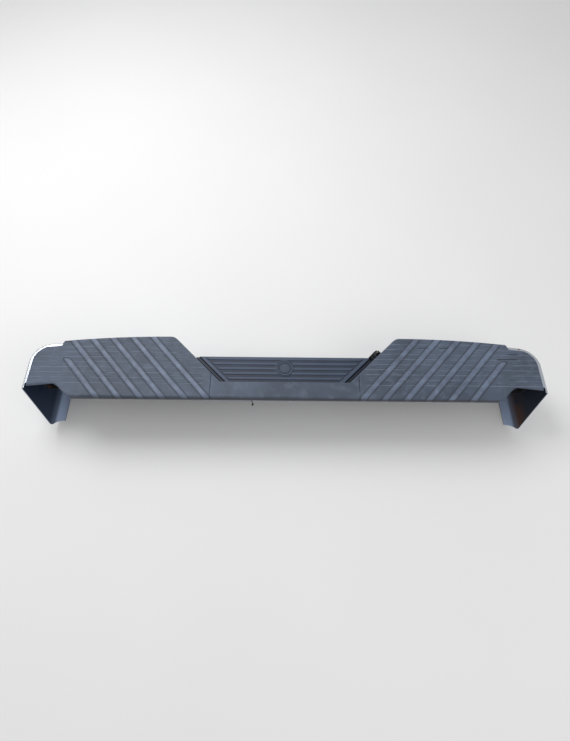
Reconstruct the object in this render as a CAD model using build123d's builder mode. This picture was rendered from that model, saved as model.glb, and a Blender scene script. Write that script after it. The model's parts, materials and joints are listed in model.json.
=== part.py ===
from build123d import *
from math import atan, cos, degrees, pi, radians, sin, sqrt, tan
import os

# Rear step bumper of a pickup truck, in millimetres.
# X runs across the truck, +Y points to the rear, +Z is up, and Z = 0 is the ground it stands on.

# ---- overall sizes
bumper_width = 1700
bumper_height = 200
pad_thickness = 9
rib_height = 1.5
sheet = 2.5
wall_lean = 2
corner_radius = 70
side_lean = 15
top_roll = 6
bottom_roll = 25
bottom_flange = 76
rear_y = 127
wing_front_y = -131.6
wing_end_top_y = -63
wing_toe_z = 30
bow_start_x = 374
bow_drop = 34.6

# ---- tread level and the notch for the lower step
step_drop = 100
tread_front_y = -88
tread_half = 700
front_lip_depth = 22
notch_rear_half = 374
notch_front_half = 210
notch_front_y = -38
notch_draft = 20
notch_edge_gap = 3
notch_corner_radius = 14
length_margin = 10
recess_y = 104
recess_half = 322
recess_floor_z = 16

# ---- tread pads
pad_overhang = 2
pad_lip = 7
pad_lip_depth = 28
pad_clearance = 0.3
chrome_reveal = 10
cover_half = 745
pad_set_back_start = 690
pad_set_back_end = 742
pad_wing_front_y = -49
pad_wing_end_y = -60
set_back_radius = 22
centre_pad_half = 240
seam_gap = 1
rib_pitch = 70.3
rib_width = 20
rib_first_x = 254
rib_slope = 0.89
rib_count = 6
rib_short_end_y = 33
rib_inset = 3
lower_pad_gap = 11
step_ridge_pitch = 19
step_ridge_width = 9
step_ridge_count = 5
step_ridge_first_y = 13
step_border = 26
ball_x = 0
ball_y = 62
cover_diameter = 57
cover_skirt = 46
cover_lip = 3
running_gap = 0.4

# ---- structure behind the face bar
ball_plate_thickness = 10
ball_plate_half = 90
ball_plate_front_y = 30
ball_bore = 26.2
ball_nut_clearance = 30
plate_head_depth = 7
beam_half = 560
beam_height = 58
beam_depth = 55
beam_wall = 3.5
frame_half = 430
plate_thickness = 6
bracket_flange = 60
bracket_front_y = -60
bracket_rear_y = 44
frame_hole = 13
frame_hole_spacing = 50
frame_hole_y = 0
frame_hole_drop = 48.5
brace_width = 45
brace_thickness = 5
brace_start_x = 515
brace_end_gap = 0.95
brace_tab_height = 40
brace_neck = 30
brace_bolt_inset = 22
brace_bolt_margin = 14
plate_bolt_x = 68
plate_bolt_setback = 28
brace_tab_y = 5

# ---- fasteners
bolt = 10
bolt_hole = 11
head_diameter = 22
head_height = 3.4
wing_head_height = 2.4
head_seat_gap = 0.5
head_taper = 35
bolt_tail = 4
short_bolt_tail = 3
nut_across = 17
nut_height = 8
washer_thickness = 2
face_bolt_spread = 24
spacer_diameter = 18
clip_stem = 7.5
clip_head = 16
clip_head_height = 2
clip_length = 15
clip_hole = 8
clip_taper = 6

# ---- licence-plate fixings and lamps
plate_hole_spacing = 178
plate_hole_rise = 12.5
insert_body = 9
insert_bore = 5
insert_flange = 14
insert_flange_height = 1.2
insert_length = 14
web_access_hole = 16
lamp_x = 205
lamp_rise = 14.5
lamp_length = 62
lamp_height = 20
lamp_depth = 11
lamp_shell = 1.8
lens_depth = 3
bulb_diameter = 7
holder_diameter = 12
holder_length = 20
lamp_screw = 3.5
lamp_screw_head = 1.5
lamp_screw_inset = 6
lamp_corner = 6
window_margin = 26
lens_round = 1

# ---- trailer socket on the right-hand slanted wall of the notch
socket_y = 84
socket_rise = 34
socket_diameter = 40
socket_stand_off = 17
socket_depth = 26
socket_cavity = 31
socket_floor = 4
socket_flange = 50
socket_flange_thickness = 3
socket_screw_circle = 33
screw_hole = 3.4
cap_thickness = 6
cap_gap = 0.4
hinge_pin = 3
hinge_clearance = 0.05
hinge_ear = 5
hinge_rise = 6
contact_diameter = 3.2
contact_circle = 18
contact_count = 6
contact_length = 20
hinge_span = 14
knuckle_length = 9
spring_thickness = 0.8
pin_y = -25
pin_z = 14
knuckle_radius = 3.8
flange_corner = 8
cap_round = 2.5
contact_tail = 2
socket_screw_head = 1.8
socket_screw_length = 9

# ---- wiring
harness_diameter = 8
socket_lead = 40
pigtail_diameter = 3.2
connector_diameter = 6
connector_length = 15
clip_strap = 12
clip_clearance = 0.15

# ---- levels and places that follow from the sizes above
metal_top = bumper_height - pad_thickness
metal_under = metal_top - sheet
lower_top = bumper_height - step_drop
lower_metal_top = lower_top - pad_thickness
lower_metal_under = lower_metal_top - sheet
ball_plate_bottom = lower_metal_under - ball_plate_thickness
beam_top = ball_plate_bottom
beam_bottom = beam_top - beam_height
beam_rear_y = recess_y - sheet
beam_front_y = beam_rear_y - beam_depth
form_front_y = wing_front_y - 40
beam_middle_z = (beam_top + beam_bottom) / 2
plate_hole_z = beam_middle_z + plate_hole_rise
lamp_z = beam_middle_z + lamp_rise
socket_z = lower_top + socket_rise
frame_hole_z = metal_under - frame_hole_drop
half_width = bumper_width / 2
lean = tan(radians(wall_lean))
side_slope = tan(radians(side_lean))
notch_slope = (notch_rear_half - notch_front_half) / (rear_y + pad_overhang - notch_front_y)
wall_angle = degrees(atan(notch_slope))
press_depth = metal_top + 1 - lower_metal_top
far = 400

os.makedirs("parts", exist_ok=True)


def save(piece, label):
    piece.label = label
    export_step(piece, f"parts/{label}.step")


def box_between(low, high):
    """Sketch rectangle from one corner to the other, for the builder that is open."""
    centre = ((low[0] + high[0]) / 2, (low[1] + high[1]) / 2)
    with Locations(centre):
        Rectangle(high[0] - low[0], high[1] - low[1])


def face_y(x, z):
    """Where the rear face stands at a place across the truck and a height."""
    fall = metal_top - z
    run = half_width - side_slope * fall - bow_start_x
    bow_radius = (run ** 2 + bow_drop ** 2) / (2 * bow_drop)
    bow = bow_radius - sqrt(bow_radius ** 2 - max(abs(x) - bow_start_x, 0) ** 2)
    return rear_y - bow - lean * fall


def block(low, high):
    """Solid between two corners."""
    size = [h - l for l, h in zip(low, high)]
    centre = [(h + l) / 2 for l, h in zip(low, high)]
    return Pos(*centre) * Box(*size, mode=Mode.PRIVATE)


def face_outline(inset, level=metal_top):
    """Plan of the face bar at a level: straight in the middle, bowed to the ends, round corners."""
    rear = rear_y - lean * (metal_top - level)
    half = half_width - side_slope * (metal_top - level)
    with BuildSketch() as plan:
        with BuildLine():
            middle = Line((-bow_start_x, rear), (bow_start_x, rear))
            right = TangentArc(middle @ 1, (half, rear - bow_drop), tangent=(1, 0))
            side = Line(right @ 1, (half, form_front_y))
            front = Line(side @ 1, (-half, form_front_y))
            left_side = Line(front @ 1, (-half, rear - bow_drop))
            TangentArc(middle @ 0, left_side @ 1, tangent=(-1, 0))
        make_face()
        fillet(plan.vertices().filter_by(lambda v: abs(abs(v.X) - half) < 1 and v.Y > 0), corner_radius)
        if inset:
            offset(amount=-inset, kind=Kind.INTERSECTION)
    return plan.sketch


def notch_plan(level_inset, grow):
    """Trapezoid of the notch; level_inset draws it in, grow opens it by a wall."""
    shift = grow - level_inset
    front = notch_front_y - notch_edge_gap - shift
    across = (notch_edge_gap + shift) / cos(radians(wall_angle))
    front_half = notch_front_half + across + (front - notch_front_y) * notch_slope
    rear_half = front_half + (far - front) * notch_slope
    with BuildSketch() as plan:
        with BuildLine():
            Polyline((-front_half, front), (front_half, front), (rear_half, far), (-rear_half, far),
                     close=True)
        make_face()
    return plan.sketch


def notch_cutter(grow):
    """Tapered solid that presses the notch down to the lower step."""
    bottom_z = lower_metal_top - grow
    top_z = metal_top + 1
    with BuildPart() as cutter:
        with BuildSketch(Plane.XY.offset(bottom_z)):
            add(notch_plan(notch_draft, grow))
        with BuildSketch(Plane.XY.offset(top_z)):
            add(notch_plan(0, grow))
        loft()
    return cutter.part


def recess_cutter(grow):
    """Solid that sets the licence-plate face back under the lower step."""
    half = recess_half + grow
    with BuildPart() as cutter:
        with BuildSketch(Plane.XY.offset(recess_floor_z - grow)):
            with BuildLine():
                rear = recess_y - grow
                Polyline((-half, rear), (half, rear), (half + far, rear + far), (-half - far, rear + far),
                         close=True)
            make_face()
        extrude(amount=lower_metal_top + 1 - recess_floor_z + grow)
    return cutter.part


def bar_form(inset):
    """Outer or inner form of the face bar, leaning in and rolled at the top and the bottom."""
    with BuildPart() as form:
        with BuildSketch(Plane.XY.offset(metal_top - inset)):
            add(face_outline(inset, metal_top - inset))
        with BuildSketch(Plane.XY.offset(inset)):
            add(face_outline(inset, inset))
        loft(ruled=True)
        for layer, roll in ((0, bottom_roll), (-1, top_roll)):
            rim = form.edges().group_by(Axis.Z)[layer]
            fillet(rim.filter_by(lambda e: e.center().Y > form_front_y + 5), roll - inset)
    return form.part


# ---- clip and bolt places that several pieces share
clip_places = [(300, -62), (300, 0), (520, 92), (560, -62), (660, 75), (660, -62), (800, 50), (800, -25)]
centre_clip_places = [(-150, -64), (0, -64), (150, -64)]
lower_clip_places = [(-215, 36), (215, 36), (-165, 0), (165, 0)]
bracket_bolt_places = [(frame_half + bracket_flange / 2, -30), (frame_half + bracket_flange / 2, 16)]
face_bolt_xs = [frame_half + bracket_flange / 2 - face_bolt_spread / 2,
                frame_half + bracket_flange / 2 + face_bolt_spread / 2]
both = (-1, 1)
top_bolt_places = [(s * x, y) for s in both for x, y in bracket_bolt_places]
all_clip_places = [(s * x, y) for s in both for x, y in clip_places]
all_face_bolt_xs = [s * x for s in both for x in face_bolt_xs]
brace_bolt_xs = [s * (brace_start_x + brace_bolt_inset) for s in both]
brace_bolt_ys = (beam_front_y + brace_bolt_margin, beam_rear_y - brace_bolt_margin)
brace_tab_z = beam_top + brace_thickness + brace_tab_height / 2
side_wall_x = half_width - side_slope * (metal_top - brace_tab_z)
side_tilt = radians(side_lean)
side_wall_planes = [Plane(origin=(s * side_wall_x, brace_tab_y, brace_tab_z), x_dir=(0, s, 0),
                          z_dir=(s * cos(side_tilt), 0, -sin(side_tilt))) for s in both]
plate_bolt_places = [(s * plate_bolt_x, beam_front_y + plate_bolt_setback) for s in both]

# ---- socket plane: on the slanted wall, looking out of the notch
wall_rise = notch_draft / press_depth
wall_share = (metal_top + 1 - socket_z) / press_depth
wall_x = notch_front_half + (socket_y - notch_front_y) * notch_slope
wall_x += (notch_edge_gap - notch_draft * wall_share) / cos(radians(wall_angle))
wall_out = Vector(-cos(radians(wall_angle)), sin(radians(wall_angle)), wall_rise).normalized()
wall_along = Vector(sin(radians(wall_angle)), cos(radians(wall_angle)), 0)
socket_plane = Plane(origin=(wall_x, socket_y, socket_z), x_dir=wall_along, z_dir=wall_out)
socket_screw_places = [(s * socket_screw_circle / 2, t * socket_screw_circle / 2) for s in both for t in both]

# ---- face bar
with BuildPart() as face_bar:
    add(bar_form(0))
    add(notch_cutter(0), mode=Mode.SUBTRACT)
    add(recess_cutter(0), mode=Mode.SUBTRACT)
    with BuildPart(mode=Mode.PRIVATE) as hollow:
        add(bar_form(sheet))
        add(notch_cutter(sheet), mode=Mode.SUBTRACT)
        add(recess_cutter(sheet), mode=Mode.SUBTRACT)
        add(block((-tread_half, form_front_y - 1, metal_under - front_lip_depth),
                  (tread_half, tread_front_y + sheet, metal_top)), mode=Mode.SUBTRACT)
    add(hollow.part, mode=Mode.SUBTRACT)
    with BuildSketch(Plane.XY):
        add(face_outline(bottom_flange))
        with Locations((0, form_front_y)):
            Rectangle(2 * (half_width - bottom_flange), 2 * bottom_flange + 2)
    extrude(amount=sheet + 1, mode=Mode.SUBTRACT)
    add(block((-tread_half, form_front_y - 1, -1), (tread_half, tread_front_y, far)), mode=Mode.SUBTRACT)
    for side in both:
        wing = sorted((side * tread_half, side * (half_width - chrome_reveal)))
        add(block((wing[0], form_front_y - 1, metal_under - 1), (wing[1], pad_wing_front_y + 3, far)),
            mode=Mode.SUBTRACT)
    with BuildSketch(Plane.YZ):
        with BuildLine():
            edge = FilletPolyline((wing_end_top_y, far), (wing_end_top_y, metal_top), (wing_front_y, wing_toe_z),
                                  (wing_front_y + wing_toe_z, -1), radius=wing_toe_z / 2)
            Polyline(edge @ 1, (-far, -1), (-far, far), edge @ 0)
        make_face()
    extrude(amount=half_width + 1, both=True, mode=Mode.SUBTRACT)
    with BuildSketch(Plane.XY.offset(metal_top)):
        with Locations(*top_bolt_places):
            Circle(bolt_hole / 2)
        with Locations(*all_clip_places, *centre_clip_places):
            Circle(clip_hole / 2)
    extrude(amount=-2 * sheet, mode=Mode.SUBTRACT)
    with BuildSketch(Plane.XY.offset(lower_metal_top)):
        with Locations(*lower_clip_places):
            Circle(clip_hole / 2)
        with Locations((ball_x, ball_y)):
            Circle(cover_skirt / 2)
    extrude(amount=-2 * sheet, mode=Mode.SUBTRACT)
    with BuildSketch(Plane.XZ.offset(-rear_y - 1)):
        with Locations(*[(x, beam_middle_z) for x in all_face_bolt_xs]):
            Circle(bolt_hole / 2)
        with Locations(*[(s * plate_hole_spacing / 2, plate_hole_z) for s in both]):
            Circle(insert_body / 2)
        with Locations(*[(s * lamp_x, lamp_z) for s in both]):
            Circle(holder_diameter / 2)
    extrude(amount=rear_y - beam_rear_y + 4, mode=Mode.SUBTRACT)
    for plane in side_wall_planes:
        with BuildSketch(plane):
            Circle(bolt_hole / 2)
        extrude(amount=2 * sheet, both=True, mode=Mode.SUBTRACT)
    with BuildSketch(socket_plane):
        Circle(socket_diameter / 2 + running_gap)
        with Locations(*socket_screw_places):
            Circle(screw_hole / 2)
    extrude(amount=2 * sheet, both=True, mode=Mode.SUBTRACT)

# The pressing is one sheet, kept as simple lengths that meet face to face, so that a tool that
# fills each solid's hollows leaves the notch, the recess and the space behind the bar open.
outer = half_width + 1
below = (-1, bottom_roll)
wall_levels = (bottom_roll, metal_under - top_roll)
top_levels = (metal_under - top_roll, far)
whole_depth = (-far, far)
shelf_z = recess_floor_z + 1
pan_levels = (lower_metal_under - sheet, lower_metal_top + pad_clearance)
inside_x = notch_front_half - length_margin
centre_x = notch_rear_half + 2 * length_margin
flange_y = rear_y - bottom_flange
curl_x = half_width - bottom_flange + bottom_roll - length_margin
bar_lengths = [
    ((0, centre_x), whole_depth, (-1, shelf_z)),
    ((0, recess_half - 1), whole_depth, (shelf_z, pan_levels[0])),
    ((recess_half - 1, centre_x), whole_depth, (shelf_z, pan_levels[0])),
    ((0, centre_x), (-far, ball_y), pan_levels),
    ((0, centre_x), (ball_y, far), pan_levels),
    ((0, inside_x), whole_depth, (pan_levels[1], wall_levels[1])),
    ((inside_x, centre_x), whole_depth, (pan_levels[1], wall_levels[1])),
    ((0, inside_x), whole_depth, top_levels),
    ((inside_x, centre_x), whole_depth, top_levels),
    ((centre_x, tread_half), whole_depth, below),
    ((centre_x, tread_half), whole_depth, wall_levels),
    ((centre_x, tread_half), whole_depth, top_levels),
    ((tread_half, outer), (flange_y, far), below),
    ((tread_half, curl_x), (-far, flange_y), below),
    ((curl_x, outer), (-far, flange_y), below),
    ((tread_half, outer), (flange_y, far), wall_levels),
    ((tread_half, outer), (-far, flange_y), wall_levels),
    ((tread_half, outer), whole_depth, top_levels),
]
bar_solids = []
for side in both:
    for across, along, levels in bar_lengths:
        ends = sorted((side * across[0], side * across[1]))
        with BuildPart() as length:
            add(face_bar.part)
            add(block((ends[0], along[0], levels[0]), (ends[1], along[1], levels[1])), mode=Mode.INTERSECT)
        bar_solids.extend(length.part.solids())
print("face bar volume share", round(sum(piece.volume for piece in bar_solids) / face_bar.part.volume, 5),
      "in", len(bar_solids), "solids")
save(Compound(bar_solids), "face_bar")


# ---- tread pads
def tread_outline(inset):
    """Plan of the whole tread: over the face bar's edge in the middle, inside it round the corners."""
    with BuildSketch() as plan:
        add(face_outline(-pad_overhang))
        Rectangle(2 * cover_half, 4 * far, mode=Mode.INTERSECT)
        add(face_outline(chrome_reveal))
        for side in both:
            with BuildSketch(mode=Mode.PRIVATE) as front:
                with BuildLine():
                    start = (0, tread_front_y - pad_lip)
                    edge = FilletPolyline(start, (side * pad_set_back_start, start[1]),
                                          (side * pad_set_back_end, pad_wing_front_y),
                                          (side * half_width, pad_wing_end_y), radius=set_back_radius)
                    Polyline(edge @ 1, (side * half_width, -far), (0, -far), start)
                make_face()
            add(front.sketch, mode=Mode.SUBTRACT)
        add(notch_plan(notch_edge_gap, 0), mode=Mode.SUBTRACT)
        corners = plan.vertices().filter_by(
            lambda v: abs(abs(v.X) - notch_rear_half) < notch_edge_gap and v.Y > recess_y)
        fillet(corners, notch_corner_radius)
        if inset:
            offset(amount=-inset, kind=Kind.INTERSECTION)
    return plan.sketch


def side_of_tread(side, inset):
    """The part of the tread outside the seam, on one side."""
    with BuildSketch() as plan:
        add(tread_outline(inset))
        ends = sorted((side * (centre_pad_half + seam_gap + inset), side * far * 3))
        with Locations(((ends[0] + ends[1]) / 2, 0)):
            Rectangle(ends[1] - ends[0], 4 * far, mode=Mode.INTERSECT)
    return plan.sketch


def middle_of_tread():
    """The part of the tread in front of the notch, between the two seams."""
    with BuildSketch() as plan:
        add(tread_outline(0))
        Rectangle(2 * centre_pad_half, 4 * far, mode=Mode.INTERSECT)
    return plan.sketch


def rib_lines(side):
    """Slanting ribs of one pad, as strips that the pad's own outline ends."""
    with BuildSketch() as ribs:
        for number in range(rib_count):
            foot = rib_first_x + number * rib_pitch
            end = rib_short_end_y if number == rib_count - 1 else far
            half = rib_width / 2 / cos(radians(wall_angle))
            low_y = tread_front_y
            low = foot + (low_y + 90) * rib_slope
            high = foot + (end + 90) * rib_slope
            with BuildLine():
                Polyline((side * (low - half), low_y), (side * (low + half), low_y),
                         (side * (high + half), end), (side * (high - half), end), close=True)
            make_face()
        add(side_of_tread(side, rib_inset), mode=Mode.INTERSECT)
    return ribs.sketch


def pad_body(plan, lip_ends):
    """Sheet of the pad with its front lip hanging over the steel edge."""
    with BuildPart() as body:
        with BuildSketch(Plane.XY.offset(metal_top)):
            add(plan)
        extrude(amount=pad_thickness - rib_height)
        with BuildSketch(Plane.XY.offset(metal_top)):
            add(plan)
            with Locations(((lip_ends[0] + lip_ends[1]) / 2, tread_front_y - pad_clearance - far / 2)):
                Rectangle(lip_ends[1] - lip_ends[0], far, mode=Mode.INTERSECT)
        extrude(amount=-(pad_lip_depth - pad_thickness))
    return body.part


def discs(places, radius, level):
    """Round profiles at a level, for the pockets under a pad."""
    with BuildSketch(Plane.XY.offset(level)) as profiles:
        with Locations(*places):
            Circle(radius)
    return profiles.sketch


pad_lip_inner_end = centre_pad_half + seam_gap
for side, name in ((-1, "left"), (1, "right")):
    with BuildPart() as upper_pad:
        lip_ends = sorted((side * pad_lip_inner_end, side * (pad_set_back_start - set_back_radius)))
        add(pad_body(side_of_tread(side, 0), lip_ends))
        with BuildSketch(Plane.XY.offset(bumper_height - rib_height)):
            add(rib_lines(side))
        extrude(amount=rib_height)
        add(discs([(side * x, y) for x, y in bracket_bolt_places], head_diameter / 2 + running_gap, metal_top))
        extrude(amount=head_height + running_gap, mode=Mode.SUBTRACT)
        add(discs([(side * x, y) for x, y in clip_places], clip_head / 2 + pad_clearance, metal_top))
        extrude(amount=clip_head_height + pad_clearance, mode=Mode.SUBTRACT)
    save(upper_pad.part, f"upper_pad_{name}")

with BuildPart() as centre_pad:
    add(pad_body(middle_of_tread(), (-centre_pad_half, centre_pad_half)))
    add(discs(centre_clip_places, clip_head / 2 + pad_clearance, metal_top))
    extrude(amount=clip_head_height + pad_clearance, mode=Mode.SUBTRACT)
save(centre_pad.part, "centre_pad")


def lower_outline(inset):
    """Trapezoid of the lower step pad, clear of the notch's walls."""
    with BuildSketch() as plan:
        add(notch_plan(notch_draft + lower_pad_gap * cos(radians(wall_angle)) + inset, 0))
        with Locations((0, recess_y + pad_overhang - inset - far / 2)):
            Rectangle(6 * far, far, mode=Mode.INTERSECT)
    return plan.sketch


with BuildPart() as lower_step_pad:
    with BuildSketch(Plane.XY.offset(lower_metal_top)):
        add(lower_outline(0))
    extrude(amount=pad_thickness - rib_height)
    with BuildSketch(Plane.XY.offset(lower_top - rib_height)):
        add(lower_outline(0))
        add(lower_outline(step_border - step_ridge_width), mode=Mode.SUBTRACT)
        with Locations(*[(0, step_ridge_first_y + n * step_ridge_pitch) for n in range(step_ridge_count)]):
            Rectangle(2 * half_width, step_ridge_width)
        add(lower_outline(0), mode=Mode.INTERSECT)
        with Locations((ball_x, ball_y)):
            Circle(cover_diameter / 2 + cover_lip)
    extrude(amount=rib_height)
    with BuildSketch(Plane.XY.offset(lower_top)):
        with Locations((ball_x, ball_y)):
            Circle(cover_diameter / 2 + running_gap)
    extrude(amount=-cover_lip - running_gap / 2, mode=Mode.SUBTRACT)
    with BuildSketch(Plane.XY.offset(lower_top)):
        with Locations((ball_x, ball_y)):
            Circle(cover_skirt / 2)
    extrude(amount=-2 * pad_thickness, mode=Mode.SUBTRACT)
    add(discs(lower_clip_places, clip_head / 2 + pad_clearance, lower_metal_top))
    extrude(amount=clip_head_height + pad_clearance, mode=Mode.SUBTRACT)
save(lower_step_pad.part, "lower_step_pad")

with BuildPart() as ball_hole_cover:
    with BuildSketch(Plane.XY.offset(lower_top - cover_lip)):
        with Locations((ball_x, ball_y)):
            Circle(cover_diameter / 2)
    extrude(amount=cover_lip)
    fillet(ball_hole_cover.edges().group_by(Axis.Z)[-1], 1)
    with BuildSketch(Plane.XY.offset(lower_top - cover_lip)):
        with Locations((ball_x, ball_y)):
            Circle(cover_skirt / 2 - running_gap)
            Circle(cover_skirt / 2 - running_gap - 2, mode=Mode.SUBTRACT)
    extrude(amount=-(pad_thickness - cover_lip))
save(ball_hole_cover.part, "ball_hole_cover")


def clips(places, top):
    """Push-in clips: a flat head on the steel and a ribbed stem through it."""
    with BuildPart() as group:
        with BuildSketch(Plane.XY.offset(top)):
            with Locations(*places):
                Circle(clip_head / 2)
        extrude(amount=clip_head_height)
        with BuildSketch(Plane.XY.offset(top)):
            with Locations(*places):
                Circle(clip_stem / 2)
        extrude(amount=-clip_length, taper=clip_taper)
    return group.part


save(clips(all_clip_places + centre_clip_places, metal_top), "upper_pad_clips")
save(clips(lower_clip_places, lower_metal_top), "lower_pad_clips")

# ---- reinforcement beam, ball plate, brackets and braces
with BuildPart() as reinforcement_beam:
    with BuildSketch(Plane.YZ):
        box_between((beam_front_y, beam_bottom), (beam_rear_y, beam_top))
        with Locations(((beam_front_y + beam_rear_y) / 2 - beam_wall, beam_middle_z)):
            Rectangle(beam_depth, beam_height - 2 * beam_wall, mode=Mode.SUBTRACT)
    extrude(amount=beam_half, both=True)
    with BuildSketch(Plane.XZ.offset(-beam_rear_y)):
        with Locations(*[(x, beam_middle_z) for x in all_face_bolt_xs]):
            Circle(bolt_hole / 2)
        with Locations(*[(s * plate_hole_spacing / 2, plate_hole_z) for s in both]):
            Circle(web_access_hole / 2)
        with Locations(*[(s * lamp_x, lamp_z) for s in both]):
            Circle(web_access_hole / 2)
    extrude(amount=beam_wall, mode=Mode.SUBTRACT)
    with BuildSketch(Plane.XY.offset(beam_top)):
        with Locations((ball_x, ball_y)):
            Circle(ball_nut_clearance / 2)
        with Locations(*plate_bolt_places, *[(x, y) for x in brace_bolt_xs for y in brace_bolt_ys]):
            Circle(bolt_hole / 2)
    extrude(amount=-beam_wall, mode=Mode.SUBTRACT)
save(reinforcement_beam.part, "reinforcement_beam")

with BuildPart() as ball_plate:
    with BuildSketch(Plane.XY.offset(ball_plate_bottom)):
        box_between((-ball_plate_half, ball_plate_front_y), (ball_plate_half, beam_rear_y - 1))
        with Locations((ball_x, ball_y)):
            Circle(ball_bore / 2, mode=Mode.SUBTRACT)
        with Locations(*plate_bolt_places):
            Circle(bolt_hole / 2, mode=Mode.SUBTRACT)
    extrude(amount=ball_plate_thickness)
    with BuildSketch(Plane.XY.offset(lower_metal_under)):
        with Locations(*plate_bolt_places):
            RegularPolygon(nut_across / 2 + 0.5, 6, major_radius=False)
    extrude(amount=-plate_head_depth, mode=Mode.SUBTRACT)
save(ball_plate.part, "ball_plate")

hole_row = [(y, z) for y in (frame_hole_y - frame_hole_spacing / 2, frame_hole_y + frame_hole_spacing / 2)
            for z in (frame_hole_z - frame_hole_spacing / 2, frame_hole_z + frame_hole_spacing / 2)]
bracket_floor = beam_bottom + beam_wall
bracket_shelf = beam_top - beam_wall
bracket_rear = beam_rear_y - beam_wall
for side, name in ((-1, "left"), (1, "right")):
    with BuildPart() as bracket:
        with BuildSketch(Plane.YZ.offset(side * (frame_half + plate_thickness / 2) - plate_thickness / 2)):
            with BuildLine():
                Polyline((bracket_rear, bracket_floor), (bracket_rear, bracket_shelf),
                         (bracket_rear_y, bracket_shelf), (bracket_rear_y, metal_under),
                         (bracket_front_y, metal_under), (bracket_front_y, metal_under - 40),
                         (0, bracket_floor), close=True)
            make_face()
            with Locations(*hole_row):
                Circle(frame_hole / 2, mode=Mode.SUBTRACT)
        extrude(amount=plate_thickness)
        inner = side * frame_half
        outer = side * (frame_half + bracket_flange)
        flange = sorted((inner, outer))
        with BuildSketch(Plane.XY.offset(metal_under)):
            box_between((flange[0], bracket_front_y), (flange[1], bracket_rear_y))
            with Locations(*[(side * x, y) for x, y in bracket_bolt_places]):
                Circle(bolt_hole / 2, mode=Mode.SUBTRACT)
        extrude(amount=-plate_thickness)
        with BuildSketch(Plane.XZ.offset(-bracket_rear)):
            box_between((flange[0], bracket_floor), (flange[1], bracket_shelf))
            with Locations(*[(side * x, beam_middle_z) for x in face_bolt_xs]):
                Circle(bolt_hole / 2, mode=Mode.SUBTRACT)
        extrude(amount=plate_thickness)
    save(bracket.part, f"bracket_{name}")

    with BuildPart() as brace:
        wall_plane = side_wall_planes[both.index(side)]
        tab_foot = brace_tab_z - beam_top
        arm_front = brace_tab_y - brace_width / 2
        arm_rear = brace_tab_y + brace_width / 2
        tab_x = side_wall_x - side_slope * tab_foot - (sheet + brace_end_gap) / cos(side_tilt) - 1
        with BuildSketch(Plane.XY.offset(beam_top)):
            with BuildLine():
                Polyline((side * brace_start_x, beam_front_y), (side * brace_start_x, beam_rear_y - 1),
                         (side * beam_half, beam_rear_y - 1), (side * (tab_x - brace_neck), arm_rear),
                         (side * tab_x, arm_rear), (side * tab_x, arm_front),
                         (side * (tab_x - brace_neck), arm_front), (side * beam_half, beam_front_y), close=True)
            make_face()
            with Locations(*[(x, y) for x in brace_bolt_xs for y in brace_bolt_ys]):
                Circle(bolt_hole / 2, mode=Mode.SUBTRACT)
        extrude(amount=brace_thickness)
        with BuildSketch(wall_plane.offset(-sheet - brace_end_gap)):
            box_between((-brace_width / 2, -tab_foot / cos(side_tilt)), (brace_width / 2, brace_tab_height / 2))
            Circle(bolt_hole / 2, mode=Mode.SUBTRACT)
        extrude(amount=-brace_thickness)
    save(brace.part, f"wing_brace_{name}")


# ---- bolts, nuts and spacers, each set in one node
def carriage_bolts(planes, shank, head=head_height):
    """Domed bolts: the head stands on each plane and the shank goes back from it."""
    with BuildPart() as group:
        for plane in planes:
            with BuildSketch(plane):
                Circle(head_diameter / 2)
            extrude(amount=head, taper=head_taper)
            with BuildSketch(plane):
                Circle(bolt / 2)
            extrude(amount=-shank)
    return group.part


def hex_nuts(planes, height):
    """Nuts with a washer face, standing on each plane and threaded on the bolt's own size."""
    with BuildPart() as group:
        for plane in planes:
            with BuildSketch(plane):
                Circle(nut_across / 2 + 2)
                Circle(bolt / 2, mode=Mode.SUBTRACT)
            extrude(amount=washer_thickness)
            with BuildSketch(plane.offset(washer_thickness)):
                RegularPolygon(nut_across / 2, 6, major_radius=False)
                Circle(bolt / 2, mode=Mode.SUBTRACT)
            extrude(amount=height)
    return group.part


def planes_at(points, out):
    """A plane at each point, looking the same way."""
    return [Plane(origin=point, z_dir=out) for point in points]


face_points = [(x, face_y(x, beam_middle_z) + head_seat_gap, beam_middle_z) for x in all_face_bolt_xs]
nut_stack = washer_thickness + nut_height + bolt_tail
face_shank = face_points[0][1] - bracket_rear + plate_thickness + nut_stack
save(carriage_bolts(planes_at(face_points, (0, 1, 0)), face_shank), "face_bolts")
with BuildPart() as face_bolt_spacers:
    for x in all_face_bolt_xs:
        with BuildSketch(Plane.XZ.offset(-beam_rear_y)):
            with Locations((x, beam_middle_z)):
                Circle(spacer_diameter / 2)
                Circle(bolt_hole / 2, mode=Mode.SUBTRACT)
        extrude(amount=-(face_y(x, beam_middle_z) - sheet - head_seat_gap - beam_rear_y))
save(face_bolt_spacers.part, "face_bolt_spacers")
save(hex_nuts(planes_at([(x, bracket_rear - plate_thickness, beam_middle_z) for x in all_face_bolt_xs],
                        (0, -1, 0)), nut_height), "face_bolt_nuts")

top_points = [(x, y, metal_top) for x, y in top_bolt_places]
save(carriage_bolts(planes_at(top_points, (0, 0, 1)), sheet + plate_thickness + nut_stack), "bracket_bolts")
save(hex_nuts(planes_at([(x, y, metal_under - plate_thickness) for x, y in top_bolt_places], (0, 0, -1)),
              nut_height), "bracket_nuts")

wing_grip = sheet + brace_end_gap + brace_thickness
save(carriage_bolts([plane.offset(head_seat_gap) for plane in side_wall_planes],
                    head_seat_gap + wing_grip + nut_stack, wing_head_height), "wing_bolts")
save(hex_nuts([Plane(origin=plane.offset(-wing_grip).origin, z_dir=-plane.z_dir) for plane in side_wall_planes],
              nut_height), "wing_bolt_nuts")

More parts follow.
